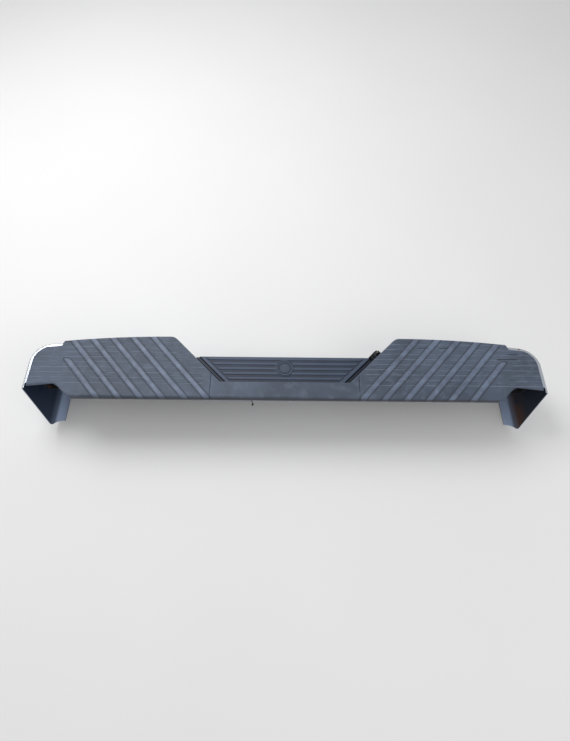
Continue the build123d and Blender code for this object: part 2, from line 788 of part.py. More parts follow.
brace_points = [(x, y) for x in brace_bolt_xs for y in brace_bolt_ys]
save(carriage_bolts(planes_at([(x, y, beam_top + brace_thickness) for x, y in brace_points], (0, 0, 1)),
                    brace_thickness + beam_wall + washer_thickness + nut_height + short_bolt_tail),
     "brace_bolts")
save(hex_nuts(planes_at([(x, y, beam_top - beam_wall) for x, y in brace_points], (0, 0, -1)), nut_height),
     "brace_nuts")

with BuildPart() as ball_plate_bolts:
    with BuildSketch(Plane.XY.offset(lower_metal_under - plate_head_depth)):
        with Locations(*plate_bolt_places):
            RegularPolygon(nut_across / 2, 6, major_radius=False)
    extrude(amount=plate_head_depth - head_seat_gap)
    with BuildSketch(Plane.XY.offset(lower_metal_under - plate_head_depth)):
        with Locations(*plate_bolt_places):
            Circle(bolt / 2)
    extrude(amount=-(ball_plate_thickness - plate_head_depth + beam_wall + washer_thickness + nut_height
                     + short_bolt_tail))
save(ball_plate_bolts.part, "ball_plate_bolts")
save(hex_nuts(planes_at([(x, y, beam_top - beam_wall) for x, y in plate_bolt_places], (0, 0, -1)), nut_height),
     "ball_plate_nuts")

# ---- licence-plate inserts and lamps
with BuildPart() as plate_inserts:
    with BuildSketch(Plane.XZ.offset(-recess_y)):
        with Locations(*[(s * plate_hole_spacing / 2, plate_hole_z) for s in both]):
            Circle(insert_flange / 2)
    extrude(amount=-insert_flange_height)
    with BuildSketch(Plane.XZ.offset(-recess_y)):
        with Locations(*[(s * plate_hole_spacing / 2, plate_hole_z) for s in both]):
            Circle(insert_body / 2)
    extrude(amount=insert_length - insert_flange_height)
    with BuildSketch(Plane.XZ.offset(-recess_y - insert_flange_height)):
        with Locations(*[(s * plate_hole_spacing / 2, plate_hole_z) for s in both]):
            Circle(insert_bore / 2)
    extrude(amount=insert_length, mode=Mode.SUBTRACT)
save(plate_inserts.part, "plate_inserts")

for side, name in ((-1, "left"), (1, "right")):
    lamp_plane = Plane(origin=(side * lamp_x, recess_y, lamp_z), x_dir=(-1, 0, 0), z_dir=(0, 1, 0))
    lamp_screw_places = [(s * (lamp_length / 2 - lamp_screw_inset), 0) for s in both]
    window = (lamp_length - window_margin, lamp_height - 2 * lamp_shell)
    with BuildPart() as lamp_housing:
        with BuildSketch(lamp_plane):
            RectangleRounded(lamp_length, lamp_height, lamp_corner)
        extrude(amount=lamp_depth - lens_depth)
        with BuildSketch(lamp_plane.offset(lamp_shell)):
            Rectangle(*window)
        extrude(amount=lamp_depth, mode=Mode.SUBTRACT)
        with BuildSketch(lamp_plane):
            Circle(holder_diameter / 2)
            with Locations(*lamp_screw_places):
                Circle(lamp_screw / 2)
        extrude(amount=lamp_depth, mode=Mode.SUBTRACT)
    save(lamp_housing.part, f"plate_lamp_housing_{name}")

    with BuildPart() as lamp_lens:
        with BuildSketch(lamp_plane.offset(lamp_depth - lens_depth)):
            RectangleRounded(lamp_length, lamp_height, lamp_corner)
            with Locations(*lamp_screw_places):
                Circle(lamp_screw / 2, mode=Mode.SUBTRACT)
        extrude(amount=lens_depth)
        fillet(lamp_lens.edges().group_by(Axis.Y)[-1].filter_by(GeomType.LINE), lens_round)
    save(lamp_lens.part, f"plate_lamp_lens_{name}")

    with BuildPart() as lamp_screws:
        with BuildSketch(lamp_plane.offset(lamp_depth)):
            with Locations(*lamp_screw_places):
                Circle(lamp_screw)
        extrude(amount=lamp_screw_head, taper=head_taper)
        with BuildSketch(lamp_plane.offset(lamp_depth)):
            with Locations(*lamp_screw_places):
                Circle(lamp_screw / 2)
        extrude(amount=-lamp_depth)
    save(lamp_screws.part, f"plate_lamp_screws_{name}")

    with BuildPart() as lamp_holder:
        with BuildSketch(lamp_plane.offset(lamp_shell)):
            Circle(holder_diameter / 2)
        extrude(amount=-holder_length)
    save(lamp_holder.part, f"plate_lamp_holder_{name}")

    with BuildPart() as lamp_bulb:
        with BuildSketch(lamp_plane.offset(lamp_shell)):
            Circle(bulb_diameter / 2)
        extrude(amount=lamp_depth - lens_depth - lamp_shell - 1)
        fillet(lamp_bulb.edges().group_by(Axis.Y)[-1], bulb_diameter / 2 - 0.8)
    save(lamp_bulb.part, f"plate_lamp_bulb_{name}")

# ---- trailer socket: body, cap, pin, spring, contacts and screws
pin_line = Plane(origin=socket_plane.from_local_coords(Vector(0, pin_y, pin_z)), x_dir=socket_plane.y_dir,
                 z_dir=socket_plane.x_dir)
with BuildPart() as socket_body:
    with BuildSketch(socket_plane):
        RectangleRounded(socket_flange, socket_flange, flange_corner)
        with Locations(*socket_screw_places):
            Circle(screw_hole / 2, mode=Mode.SUBTRACT)
    extrude(amount=socket_flange_thickness)
    with BuildSketch(socket_plane.offset(-socket_depth)):
        Circle(socket_diameter / 2)
    extrude(amount=socket_depth + socket_stand_off)
    with BuildSketch(socket_plane):
        for s in both:
            with Locations((s * (hinge_span / 2 + running_gap + hinge_ear / 2), pin_y / 2 - hinge_pin)):
                Rectangle(hinge_ear, -pin_y)
    extrude(amount=pin_z + hinge_pin)
    with BuildSketch(socket_plane.offset(socket_floor - socket_depth)):
        Circle(socket_cavity / 2)
    extrude(amount=socket_depth + socket_stand_off, mode=Mode.SUBTRACT)
    with BuildSketch(socket_plane.offset(-socket_depth)):
        with PolarLocations(contact_circle / 2, contact_count):
            Circle(contact_diameter / 2)
        Circle(harness_diameter / 2)
    extrude(amount=socket_floor, mode=Mode.SUBTRACT)
    with BuildSketch(pin_line):
        Circle(hinge_pin / 2)
    extrude(amount=socket_diameter, both=True, mode=Mode.SUBTRACT)
save(socket_body.part, "socket_body")

with BuildPart() as socket_cap:
    with BuildSketch(socket_plane.offset(socket_stand_off + cap_gap)):
        Circle(socket_diameter / 2)
        with Locations(((knuckle_length - hinge_span) / 2, pin_y / 2)):
            Rectangle(knuckle_length, -pin_y)
    extrude(amount=cap_thickness)
    cap_face = socket_cap.faces().sort_by(Axis(socket_plane.origin, wall_out))[-1]
    fillet(cap_face.edges().filter_by(GeomType.CIRCLE), cap_round)
    with BuildSketch(pin_line.offset(-hinge_span / 2)):
        Circle(knuckle_radius)
    extrude(amount=knuckle_length)
    with BuildSketch(pin_line):
        Circle(hinge_pin / 2 + hinge_clearance)
    extrude(amount=hinge_span, both=True, mode=Mode.SUBTRACT)
save(socket_cap.part, "socket_cap")

with BuildPart() as socket_cap_spring:
    with BuildSketch(pin_line.offset(knuckle_length - hinge_span / 2 + running_gap)):
        Circle(hinge_pin / 2 + hinge_clearance + spring_thickness)
        Circle(hinge_pin / 2 + hinge_clearance, mode=Mode.SUBTRACT)
    extrude(amount=hinge_span - knuckle_length)
save(socket_cap_spring.part, "socket_cap_spring")

with BuildPart() as socket_hinge_pin:
    with BuildSketch(pin_line):
        Circle(hinge_pin / 2)
    extrude(amount=hinge_span / 2 + running_gap + hinge_ear, both=True)
save(socket_hinge_pin.part, "socket_hinge_pin")

with BuildPart() as socket_contacts:
    with BuildSketch(socket_plane.offset(-socket_depth - contact_tail)):
        with PolarLocations(contact_circle / 2, contact_count):
            Circle(contact_diameter / 2)
    extrude(amount=contact_length)
save(socket_contacts.part, "socket_contacts")

with BuildPart() as socket_screws:
    with BuildSketch(socket_plane.offset(socket_flange_thickness)):
        with Locations(*socket_screw_places):
            Circle(screw_hole)
    extrude(amount=socket_screw_head, taper=head_taper)
    with BuildSketch(socket_plane.offset(socket_flange_thickness)):
        with Locations(*socket_screw_places):
            Circle(screw_hole / 2)
    extrude(amount=-socket_screw_length)
save(socket_screws.part, "socket_screws")

# ---- wiring: the clipped harness and the loose tail under the centre pad
socket_back = socket_plane.from_local_coords(Vector(0, 0, -socket_depth))
socket_tail = socket_plane.from_local_coords(Vector(0, 0, -socket_depth - socket_lead))
harness_points = [(-92, -67, 168), (-35, -63, 169), (60, -66, 168), (165, -62, 167), (238, -56, 162),
                  (310, -38, 158), (350, -33, 147), (374, 0, 132), tuple(socket_tail), tuple(socket_back)]
pigtail_points = [(-92, -67, 168), (-101, -67.6, 167.8), (-108.5, -71, 161.5), (-112, -76, 151), (-110, -80, 140),
                  (-106, -82, 127), (-107, -80.5, 114)]


def route_radii(points, least):
    """The largest arc each corner's two runs allow."""
    radii = []
    for before, corner, after in zip(points, points[1:], points[2:]):
        first = Vector(*corner) - Vector(*before)
        second = Vector(*after) - Vector(*corner)
        turn = radians(first.get_angle(second))
        radii.append(max(0.45 * min(first.length, second.length) / tan(turn / 2), least))
    return radii


def cord(points, diameter, label):
    """Round cord along straight runs joined by tangent arcs."""
    radii = route_radii(points, diameter)
    with BuildPart() as tube:
        with BuildLine():
            path = FilletPolyline(*points, radius=radii)
        start = Plane(origin=points[0], z_dir=Vector(*points[1]) - Vector(*points[0]))
        with BuildSketch(start):
            Circle(diameter / 2)
        sweep(path=path)
    save(tube.part, label)
    length = path.length
    print(label, "length", round(length, 1), "volume share",
          round(tube.part.volume / (length * pi * diameter ** 2 / 4), 4), "radii", [round(r) for r in radii])


cord(harness_points, harness_diameter, "wiring_harness")
cord(pigtail_points, pigtail_diameter, "pigtail_wire")

with BuildPart() as pigtail_connector:
    tip = Vector(*pigtail_points[-1])
    hang = (tip - Vector(*pigtail_points[-2])).normalized()
    with BuildSketch(Plane(origin=tip, z_dir=hang)):
        Circle(connector_diameter / 2)
    extrude(amount=connector_length)
save(pigtail_connector.part, "pigtail_connector")

with BuildPart() as harness_clips:
    for start, end in ((0, 1), (2, 3)):
        first = Vector(*harness_points[start])
        second = Vector(*harness_points[end])
        middle = (first + second) * 0.5
        along = Plane(origin=middle, x_dir=(0, 1, 0), z_dir=second - first)
        with BuildPart(mode=Mode.PRIVATE) as one:
            add(block((middle.X - clip_strap / 2, middle.Y - harness_diameter, middle.Z - harness_diameter),
                      (middle.X + clip_strap / 2, middle.Y + harness_diameter, metal_under)))
            with BuildSketch(along):
                Circle(harness_diameter / 2 + clip_clearance)
            extrude(amount=harness_diameter * 3, both=True, mode=Mode.SUBTRACT)
        add(one.part)
save(harness_clips.part, "harness_clips")
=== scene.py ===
import json
import math
import bmesh
import bpy
from mathutils import Matrix, Vector


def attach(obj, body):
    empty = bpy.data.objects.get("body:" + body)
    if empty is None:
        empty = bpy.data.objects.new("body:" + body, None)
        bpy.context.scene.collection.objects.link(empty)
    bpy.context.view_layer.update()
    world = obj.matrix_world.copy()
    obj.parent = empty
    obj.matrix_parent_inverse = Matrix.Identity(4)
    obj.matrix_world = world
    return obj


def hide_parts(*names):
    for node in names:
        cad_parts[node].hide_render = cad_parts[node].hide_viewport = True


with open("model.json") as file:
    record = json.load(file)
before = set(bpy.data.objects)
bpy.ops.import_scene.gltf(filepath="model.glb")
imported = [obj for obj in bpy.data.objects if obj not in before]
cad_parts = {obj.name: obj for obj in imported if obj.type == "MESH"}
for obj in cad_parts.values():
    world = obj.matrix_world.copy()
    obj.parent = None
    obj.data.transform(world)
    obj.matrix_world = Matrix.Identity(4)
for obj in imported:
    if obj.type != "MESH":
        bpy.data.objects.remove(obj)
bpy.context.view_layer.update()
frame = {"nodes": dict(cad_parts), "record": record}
nodes = frame["nodes"]
print("frame loaded:", len(nodes), "nodes")


# a shader socket that adds its own Math nodes when it is used in an expression
class Wire:
    def __init__(self, tree, socket):
        self.tree = tree
        self.socket = socket

    # settings are set first, then inputs by name, or by number as i0, i1 and so on
    def node(self, kind, settings, out=0, **inputs):
        made = self.tree.nodes.new(kind)
        for name, value in settings.items():
            setattr(made, name, value)
        for name, value in inputs.items():
            slot = made.inputs[int(name[1:])] if name[0] == "i" and name[1:].isdigit() else made.inputs[name]
            if isinstance(value, Wire):
                self.tree.links.new(value.socket, slot)
            else:
                slot.default_value = value
        return Wire(self.tree, made.outputs[out])

    def maths(self, operation, *values, clamp=False):
        inputs = {"i%d" % place: value for place, value in enumerate(values)}
        return self.node("ShaderNodeMath", {"operation": operation, "use_clamp": clamp}, **inputs)

    def __add__(self, other):
        return self.maths("ADD", self, other)

    def __radd__(self, other):
        return self.maths("ADD", other, self)

    def __sub__(self, other):
        return self.maths("SUBTRACT", self, other)

    def __rsub__(self, other):
        return self.maths("SUBTRACT", other, self)

    def __mul__(self, other):
        return self.maths("MULTIPLY", self, other)

    def __rmul__(self, other):
        return self.maths("MULTIPLY", other, self)

    def __truediv__(self, other):
        return self.maths("DIVIDE", self, other)

    def __abs__(self):
        return self.maths("ABSOLUTE", self)

    def clamp(self):
        return self.maths("ADD", self, 0.0, clamp=True)

    def fract(self):
        return self.maths("FRACT", self)

    def root(self):
        return self.maths("SQRT", self)

    def larger(self, other):
        return self.maths("MAXIMUM", self, other)

    # 0 up to the edge, then 1 after a soft stretch
    def above(self, edge, soft):
        return self.maths("MULTIPLY", self - edge, 1.0 / soft, clamp=True)

    # 1 well under the edge, 0 from it on
    def below(self, edge, soft):
        return self.maths("MULTIPLY", edge - self, 1.0 / soft, clamp=True)

    # soft lines, one to a pitch: half is half a line's width, as a share of the pitch
    def lines(self, pitch, half):
        return (1 - abs((self / pitch).fract() - 0.5) * (1 / half)).clamp()

    def noise(self, scale, detail=3.0, rough=0.55):
        return self.node("ShaderNodeTexNoise", {}, Vector=self, Scale=scale, Detail=detail, Roughness=rough)

    def stretch(self, x, y, z):
        return self.node("ShaderNodeMapping", {}, Vector=self, Scale=(x, y, z))

    def mix(self, low, high):
        return self.node("ShaderNodeMix", {"data_type": "RGBA"}, out=2, i0=self, i6=low, i7=high)


def rgb(red, green, blue):
    return (red, green, blue, 1.0)


# a new material with its shader ready, and the piece's own coordinates at hand
class Finish:
    def __init__(self, name, **plain):
        self.material = bpy.data.materials.new(name)
        self.material.use_nodes = True
        self.tree = self.material.node_tree
        self.shader = self.tree.nodes["Principled BSDF"]
        place = self.tree.nodes.new("ShaderNodeTexCoord")
        self.place = Wire(self.tree, place.outputs["Object"])
        self.x, self.y, self.z = self.split(place.outputs["Object"])
        for key, value in plain.items():
            self.set(key, value)

    def split(self, socket):
        parts = self.tree.nodes.new("ShaderNodeSeparateXYZ")
        self.tree.links.new(socket, parts.inputs[0])
        return [Wire(self.tree, out) for out in parts.outputs]

    def normalParts(self):
        return self.split(self.tree.nodes.new("ShaderNodeNewGeometry").outputs["Normal"])

    def set(self, name, value):
        if isinstance(value, Wire):
            self.tree.links.new(value.socket, self.shader.inputs[name])
        else:
            self.shader.inputs[name].default_value = value

    def bump(self, height, distance, strength):
        bumped = self.place.node("ShaderNodeBump", {}, Height=height, Distance=distance, Strength=strength)
        self.set("Normal", bumped)


# the upper pads' outline, which stops short of the steel's rear edge at both ends so that a plated rim shows
# lengths are in metres, x across the truck and y to its rear
tread = {"notchHalf": 0.210, "notchRear": -0.038, "notchSlope": 164 / 167, "notchCorner": 0.012,
         "rear": 0.129, "straightHalf": 0.374, "bowRadius": 3.2914, "coverHalf": 0.745, "coverSoft": 0.004,
         "reveal": 0.017, "cornerX": 0.774, "cornerY": 0.0313, "cornerRadius": 0.058, "front": -0.0955,
         "setBackStart": 0.683, "setBackEnd": 0.753, "wingFront": -0.049, "wingEnd": -0.0600,
         "halfWidth": 0.850, "seam": 0.2405, "seamGap": 0.0005, "top": 0.1985, "under": 0.1912}
treadEdges = {"front": 0.006, "rear": 0.0035, "rearFlat": 0.8, "seam": 0.002, "seamZone": 0.3, "end": 0.0035,
              "inset": 0.0008}
treadGrid = {"columnStep": 0.0030, "cornerTurns": 30, "rows": 128, "middleColumns": 160, "middleRows": 60,
             "crowd": 0.55}
ribs = {"first": 0.254, "pitch": 0.0703, "slope": 0.89, "count": 6, "half": 0.0095, "height": 0.0014,
        "flatShare": 0.55, "groove": 0.0009, "grooveHalf": 0.0016, "datum": -0.090, "shortEnd": 0.033,
        "shortStep": 5, "frontFade": (0.004, 0.012), "rearFade": (0.001, 0.006)}
lip = {"low": 0.1722, "high": 0.1960, "thick": 0.0068, "round": 0.003, "pastSetBack": 0.002}
ribTilt = math.cos(math.atan(ribs["slope"]))


def smoothStep(low, high, value):
    share = min(max((value - low) / (high - low), 0.0), 1.0)
    return share * share * (3 - 2 * share)


# the smaller of two values, blended over a width where they meet
def softMin(first, second, width):
    share = max(width - abs(first - second), 0.0) / width
    return min(first, second) - share * share * width / 4


def bowDrop(across):
    past = max(across - tread["straightHalf"], 0.0)
    return tread["bowRadius"] - math.sqrt(tread["bowRadius"] ** 2 - past ** 2)


def rearEdge(x):
    across = abs(x)
    soft = tread["coverSoft"]
    step = smoothStep(tread["coverHalf"] - soft, tread["coverHalf"] + soft, across)
    rear = tread["rear"] - bowDrop(across) - tread["reveal"] * step
    if across > tread["cornerX"]:
        reach = tread["cornerRadius"] ** 2 - (across - tread["cornerX"]) ** 2
        rear = min(rear, tread["cornerY"] + math.sqrt(max(reach, 0.0)))
    notch = tread["notchRear"] + max(across - tread["notchHalf"], 0.0) / tread["notchSlope"]
    return softMin(rear, notch, tread["notchCorner"])


def frontEdge(x):
    across = abs(x)
    back = smoothStep(tread["setBackStart"], tread["setBackEnd"], across)
    slant = (across - tread["setBackEnd"]) / (tread["halfWidth"] - tread["setBackEnd"])
    wing = tread["wingFront"] + (tread["wingEnd"] - tread["wingFront"]) * max(slant, 0.0)
    return tread["front"] + (wing - tread["front"]) * back


# height of the slanting ribs over the pad's face, with a small groove along each side
def ribHeight(x, y):
    across = abs(x)
    line = (across - ribs["first"] - ribs["slope"] * (y - ribs["datum"])) / ribs["pitch"]
    number = min(max(round(line), 0), ribs["count"] - 1)
    away = abs(line - number) * ribs["pitch"] * ribTilt
    if number == ribs["shortStep"]:
        away = math.hypot(away, max(y - ribs["shortEnd"], 0.0))
    top = ribs["height"] * (1 - smoothStep(ribs["flatShare"] * ribs["half"], ribs["half"], away))
    dip = ribs["groove"] * max(1 - abs(away - ribs["half"] - ribs["grooveHalf"]) / ribs["grooveHalf"], 0.0)
    return top - dip


# how far a rounded edge has dropped at a distance in from it
def rolled(distance, radius):
    if distance >= radius:
        return 0.0
    return radius - math.sqrt(max(radius ** 2 - (radius - distance) ** 2, 0.0))


# height of an upper pad between its two ends across the truck
def treadHeight(start, end):
    def heightAt(x, y, front, rear):
        height = tread["top"]
        if abs(x) > tread["seam"] + tread["seamGap"]:
            fade = smoothStep(*ribs["frontFade"], y - front) * smoothStep(*ribs["rearFade"], rear - y)
            height += ribHeight(x, y) * fade
        height -= rolled(y - front, treadEdges["front"])
        height -= rolled((rear - y) * treadEdges["rearFlat"], treadEdges["rear"])
        endRound = treadEdges["seam"] if abs(x) < treadEdges["seamZone"] else treadEdges["end"]
        height -= rolled(min(x - start, end - x) + treadEdges["inset"], endRound)
        return height
    return heightAt


# places across the truck: even steps, then even turns round the tread's corner
def sideColumns(start):
    cornerX = tread["cornerX"]
    count = int((cornerX - start) / treadGrid["columnStep"])
    turns = treadGrid["cornerTurns"]
    flat = [start + (cornerX - start) * n / count for n in range(count + 1)]
    turned = [math.sin(math.pi / 2 * n / turns) for n in range(1, turns + 1)]
    return flat + [cornerX + tread["cornerRadius"] * share for share in turned]


# shares of the way from front to rear, closer together at both edges
def rowShares(count, crowd):
    evenShares = [n / count for n in range(count + 1)]
    return [share - crowd * math.sin(2 * math.pi * share) / (2 * math.pi) for share in evenShares]


def smoothFaces(bm, angle):
    for face in bm.faces:
        face.smooth = True
    for edge in bm.edges:
        if len(edge.link_faces) == 2 and edge.calc_face_angle(0) > math.radians(angle):
            edge.smooth = False


# closed moulded sheet: a grid bent to its outline, raised by heightAt, with walls down to under
def padSheet(columns, rows, frontAt, rearAt, heightAt, under):
    bm = bmesh.new()
    bmesh.ops.create_grid(bm, x_segments=len(columns) - 1, y_segments=len(rows) - 1, size=1.0)
    for vert in bm.verts:
        column = round((vert.co.x + 1) / 2 * (len(columns) - 1))
        row = round((vert.co.y + 1) / 2 * (len(rows) - 1))
        x = columns[column]
        front, rear = frontAt(x), rearAt(x)
        y = front + (rear - front) * rows[row]
        vert.co = (x, y, heightAt(x, y, front, rear))
    rim = [edge for edge in bm.edges if edge.is_boundary]
    walls = bmesh.ops.extrude_edge_only(bm, edges=rim)["geom"]
    for vert in (made for made in walls if isinstance(made, bmesh.types.BMVert)):
        vert.co.z = under
    bmesh.ops.holes_fill(bm, edges=[edge for edge in bm.edges if edge.is_boundary], sides=0)
    bmesh.ops.recalc_face_normals(bm, faces=bm.faces)
    return bm


# front lip that hangs over the steel's edge, as a rounded bar added to a pad
def addLip(bm, start, end):
    size = Vector((end - start, lip["thick"], lip["high"] - lip["low"]))
    centre = Vector(((start + end) / 2, tread["front"] + size.y / 2, (lip["low"] + lip["high"]) / 2))
    block = Matrix.Translation(centre) @ Matrix.Diagonal((*size, 1))
    corners = set(bmesh.ops.create_cube(bm, size=1.0, matrix=block)["verts"])
    frontEdges = [edge for edge in bm.edges
                  if all(vert in corners and vert.co.y < centre.y for vert in edge.verts)
                  and abs(edge.verts[0].co.z - edge.verts[1].co.z) < 1e-6]
    bmesh.ops.bevel(bm, geom=frontEdges, offset=lip["round"], segments=5, affect="EDGES", profile=0.5,
                    material=-1)


# a finished piece, which rides on its body and stands for one CAD node
def newObject(name, bm, material, node, body="bumper"):
    mesh = bpy.data.meshes.new(name)
    bm.to_mesh(mesh)
    bm.free()
    mesh.materials.append(material)
    made = bpy.data.objects.new(name, mesh)
    bpy.context.scene.collection.objects.link(made)
    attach(made, body)
    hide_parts(node)


# worn tread plastic: a painted highlight on the ribs, painted shade beside them and on the lip's front face, with
# moulded lines across the truck
treadShades = {"dark": rgb(0.046, 0.062, 0.094), "pale": rgb(0.078, 0.104, 0.154),
               "dusty": rgb(0.115, 0.146, 0.208), "streaked": rgb(0.135, 0.172, 0.240),
               "fineLine": rgb(0.024, 0.033, 0.052), "boldLine": rgb(0.185, 0.230, 0.320),
               # the rib colour is a painted highlight; the groove and lip colours are painted shade
               "ribHighlight": rgb(0.150, 0.192, 0.282), "groove": rgb(0.014, 0.019, 0.030),
               "lip": rgb(0.034, 0.032, 0.034), "lipEdge": rgb(0.260, 0.300, 0.360),
               "scuff": rgb(0.014, 0.017, 0.026)}
ribMarks = {"onShare": 0.86, "onSoft": 0.0040, "besideBy": 0.0012, "besideHalf": 0.0024, "turnSoft": 0.02}
crossLines = {"front": -0.052, "side": 0.262, "boldPitch": 0.019, "boldHalf": 0.085, "finePitch": 0.00475,
              "fineHalf": 0.24}
lipMarks = {"rear": -0.0925, "top": 0.1945, "edge": 0.1800}
scuffs = [(0.461, 0.093, 0.019, 0.0026), (0.530, 0.093, 0.018, 0.0026), (0.757, 0.071, 0.019, 0.003),
          (0.735, 0.052, 0.037, 0.0036)]  # each: its x and y, half its length, half its width


# where the ribs are, and the painted shade line beside them
def ribMasks(made):
    line = (abs(made.x) - ribs["first"] - (made.y - ribs["datum"]) * ribs["slope"]) / ribs["pitch"]
    offLine = abs((line + 0.5).fract() - 0.5) * (ribs["pitch"] * ribTilt)
    inRibs = line.above(-0.5, ribMarks["turnSoft"]) * line.below(ribs["count"] - 0.5, ribMarks["turnSoft"])
    isShort = line.above(ribs["shortStep"] - 0.5, ribMarks["turnSoft"])
    pastShort = isShort * (made.y - ribs["shortEnd"]).larger(0.0)
    away = (offLine * offLine + pastShort * pastShort).root()
    onRib = away.below(ribs["half"] * ribMarks["onShare"], ribMarks["onSoft"]) * inRibs
    offGroove = abs(away - (ribs["half"] + ribMarks["besideBy"]))
    besideRibShade = (1 - offGroove * (1 / ribMarks["besideHalf"])).clamp() * inRibs
    return onRib, besideRibShade


def treadPlastic():
    made = Finish("treadPlastic")
    onRib, besideRibShade = ribMasks(made)
    onField = made.y.above(crossLines["front"], 0.004) * abs(made.x).above(crossLines["side"], 0.003)
    onField = onField * (1 - onRib)
    bold = made.y.lines(crossLines["boldPitch"], crossLines["boldHalf"]) * onField
    fine = made.y.lines(crossLines["finePitch"], crossLines["fineHalf"]) * onField
    cloudy = made.place.noise(7.0, 4.0)
    patchy = made.place.noise(34.0, 4.0, 0.65)
    grain = made.place.noise(900.0, 2.0)
    streak = made.place.stretch(6, 90, 6).noise(4.0, 4.0, 0.6)
    colour = cloudy.above(0.36, 0.30).mix(treadShades["dark"], treadShades["pale"])
    colour = (patchy.above(0.50, 0.20) * 0.45).mix(colour, treadShades["dusty"])
    colour = (streak.above(0.52, 0.14) * onField * 0.5).mix(colour, treadShades["streaked"])
    colour = (fine * 0.55).mix(colour, treadShades["fineLine"])
    colour = (bold * streak.above(0.36, 0.16) * 0.75).mix(colour, treadShades["boldLine"])
    # painted highlight along the rib tops, patchy
    colour = (onRib * (0.30 + patchy.above(0.38, 0.3) * 0.55)).mix(colour, treadShades["ribHighlight"])
    # painted shade in the groove beside each rib
    colour = (besideRibShade * (0.70 + patchy * 0.3)).mix(colour, treadShades["groove"])
    onLip = made.y.below(lipMarks["rear"], 0.002)
    # the lip's front face gets painted shade
    colour = (onLip * made.z.below(lipMarks["top"], 0.002) * 0.8).mix(colour, treadShades["lip"])
    colour = (onLip * made.z.below(lipMarks["edge"], 0.003) * 0.8).mix(colour, treadShades["lipEdge"])
    for atX, atY, halfLong, halfWide in scuffs:
        alongScuff = abs(made.x - atX).below(halfLong, 0.006)
        acrossScuff = abs(made.y - atY + patchy * 0.003).below(halfWide, 0.002)
        colour = (alongScuff * acrossScuff * 0.85).mix(colour, treadShades["scuff"])
    made.set("Base Color", colour)
    made.set("Roughness", 0.52 + cloudy * 0.16 - onRib * 0.08)
    made.bump(bold * 0.45 - fine * 0.22 + grain * 0.10 + patchy * 0.12, 0.0012, 0.9)
    return made.material


# lower step plastic: darker, rubbed pale on its raised parts, with painted shade in its sunk field and along its
# dropped border
stepShades = {"dark": rgb(0.019, 0.030, 0.056), "pale": rgb(0.031, 0.048, 0.085),
              "raised": rgb(0.078, 0.110, 0.176), "sunk": rgb(0.009, 0.014, 0.028)}
stepLevels = {"raised": 0.0992, "sunk": 0.0984}


def stepPlastic():
    made = Finish("stepPlastic")
    cloudy = made.place.noise(11.0, 4.0)
    grain = made.place.noise(800.0, 2.0)
    streak = made.place.stretch(5, 60, 5).noise(5.0, 4.0)
    raised = made.z.above(stepLevels["raised"], 0.0006)
    sunk = made.z.below(stepLevels["sunk"], 0.0007)
    colour = cloudy.above(0.38, 0.3).mix(stepShades["dark"], stepShades["pale"])
    colour = (raised * (0.25 + streak * 0.7)).mix(colour, stepShades["raised"])
    # painted shade where the surface sinks below the step's top
    colour = (sunk * 0.8).mix(colour, stepShades["sunk"])
    made.set("Base Color", colour)
    made.set("Roughness", 0.45 + cloudy * 0.2)
    made.bump(grain * 0.3 + streak * 0.2, 0.0008, 0.7)
    return made.material


# bright plating outside; inside and in the notch, painted shade over the bare steel, tinted blue as a painted
# reflection, with a painted highlight on the upward-facing bottom flange and rust where it has worn through
platingShades = {"bright": rgb(0.52, 0.56, 0.62), "rust": rgb(0.170, 0.060, 0.022),
                 "insideShadeDark": rgb(0.010, 0.021, 0.048), "insideShadePale": rgb(0.020, 0.038, 0.080),
                 "rightInsideShade": rgb(0.006, 0.009, 0.016), "rustBand": rgb(0.075, 0.028, 0.014),
                 "flange": rgb(0.400, 0.500, 0.700), "edgeRust": rgb(0.120, 0.055, 0.026)}
barZones = {"middle": 0.100, "openingHalf": 0.395, "notchUnder": 0.089, "notchFront": -0.060,
            "recessTop": 0.097, "recessFront": 0.103, "cornerX": 0.772, "cornerZ": 0.150, "flangeTop": 0.045,
            "rustTop": 0.085, "rightFrom": 0.4}


# the bar's plated faces: those that face away from its middle, less the notch and with the plate recess
def platedFaces(made, normal):
    normalX, normalY, normalZ = normal
    awayFromMiddle = made.x * normalX + made.y * normalY + (made.z - barZones["middle"]) * normalZ
    inOpening = abs(made.x).below(barZones["openingHalf"], 0.002)
    inNotch = inOpening * made.z.above(barZones["notchUnder"], 0.002)
    inNotch = inNotch * made.y.above(barZones["notchFront"], 0.004)
    facesOpening = (made.x * normalX).below(0.0, 0.004).larger(normalZ.above(0.1, 0.2))
    inRecess = inOpening * made.z.below(barZones["recessTop"], 0.002)
    inRecess = inRecess * made.y.above(barZones["recessFront"], 0.002)
    return (awayFromMiddle.above(0.0, 0.004) * (1 - inNotch)).larger(inRecess * facesOpening)


